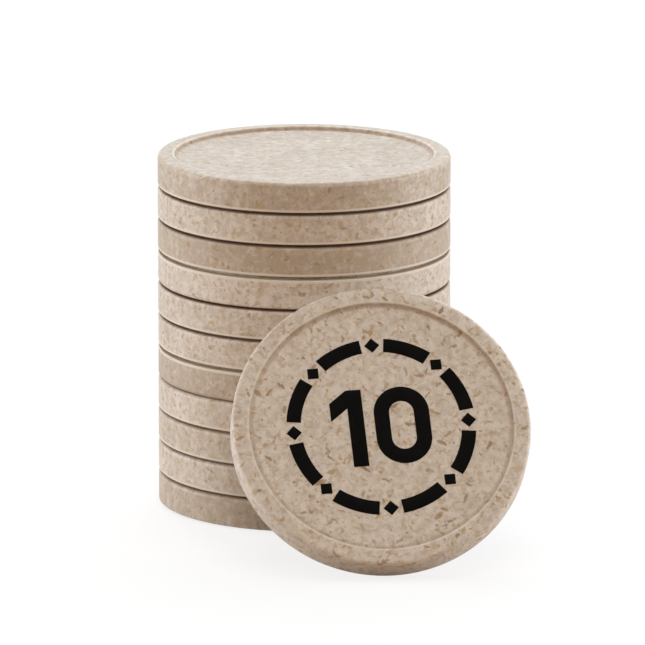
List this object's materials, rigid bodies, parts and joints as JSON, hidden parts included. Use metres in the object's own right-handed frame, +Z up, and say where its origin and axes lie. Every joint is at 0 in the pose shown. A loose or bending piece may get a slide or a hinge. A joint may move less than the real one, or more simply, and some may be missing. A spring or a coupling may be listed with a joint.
{
  "type": "game token set",
  "caption": "Straight stack of loose round game tokens in fibre-filled plastic, with raised rims and sunk faces, and a like token leaning against its side.",
  "frame": {"origin": "on the stack's axis, at the level of the table that the stack stands on", "axes": "+Z up along the stack's axis, -Y towards the leaning token, +X to the right seen from the leaning token's side"},
  "size_m": [0.0345, 0.0479, 0.0352],
  "materials": {
    "fibre_pale": "satin pale beige plastic filled with fine plant-fibre flecks",
    "fibre_sand": "satin sand-coloured plastic filled with ochre and brown plant-fibre flecks",
    "fibre_brown": "satin brown-beige plastic filled with plant-fibre flecks",
    "ink": "thin matt black printing ink"
  },
  "bodies": {
    "stack_token_01": {"stack_token_01": "fibre_brown"},
    "stack_token_02": {"stack_token_02": "fibre_pale"},
    "stack_token_03": {"stack_token_03": "fibre_sand"},
    "stack_token_04": {"stack_token_04": "fibre_pale"},
    "stack_token_05": {"stack_token_05": "fibre_brown"},
    "stack_token_06": {"stack_token_06": "fibre_sand"},
    "stack_token_07": {"stack_token_07": "fibre_sand"},
    "stack_token_08": {"stack_token_08": "fibre_pale"},
    "stack_token_09": {"stack_token_09": "fibre_brown"},
    "stack_token_10": {"stack_token_10": "fibre_sand"},
    "stack_token_11": {"stack_token_11": "fibre_sand"},
    "leaning_token": {"leaning_token": "fibre_sand"}
  },
  "joints": [
    {"name": "stack_token_02_lift", "type": "slide", "parent": "stack_token_01", "child": "stack_token_02", "axis": [0, 0, 1], "range_m": [0, 0.015]},
    {"name": "stack_token_03_lift", "type": "slide", "parent": "stack_token_02", "child": "stack_token_03", "axis": [0, 0, 1], "range_m": [0, 0.015]},
    {"name": "stack_token_04_lift", "type": "slide", "parent": "stack_token_03", "child": "stack_token_04", "axis": [0, 0, 1], "range_m": [0, 0.015]},
    {"name": "stack_token_05_lift", "type": "slide", "parent": "stack_token_04", "child": "stack_token_05", "axis": [0, 0, 1], "range_m": [0, 0.015]},
    {"name": "stack_token_06_lift", "type": "slide", "parent": "stack_token_05", "child": "stack_token_06", "axis": [0, 0, 1], "range_m": [0, 0.015]},
    {"name": "stack_token_07_lift", "type": "slide", "parent": "stack_token_06", "child": "stack_token_07", "axis": [0, 0, 1], "range_m": [0, 0.015]},
    {"name": "stack_token_08_lift", "type": "slide", "parent": "stack_token_07", "child": "stack_token_08", "axis": [0, 0, 1], "range_m": [0, 0.015]},
    {"name": "stack_token_09_lift", "type": "slide", "parent": "stack_token_08", "child": "stack_token_09", "axis": [0, 0, 1], "range_m": [0, 0.015]},
    {"name": "stack_token_10_lift", "type": "slide", "parent": "stack_token_09", "child": "stack_token_10", "axis": [0, 0, 1], "range_m": [0, 0.015]},
    {"name": "stack_token_11_lift", "type": "slide", "parent": "stack_token_10", "child": "stack_token_11", "axis": [0, 0, 1], "range_m": [0, 0.015]},
    {"name": "leaning_token_lift", "type": "slide", "parent": "stack_token_01", "child": "leaning_token", "axis": [0, -0.809, 0.5878], "range_m": [0, 0.02]}
  ]
}
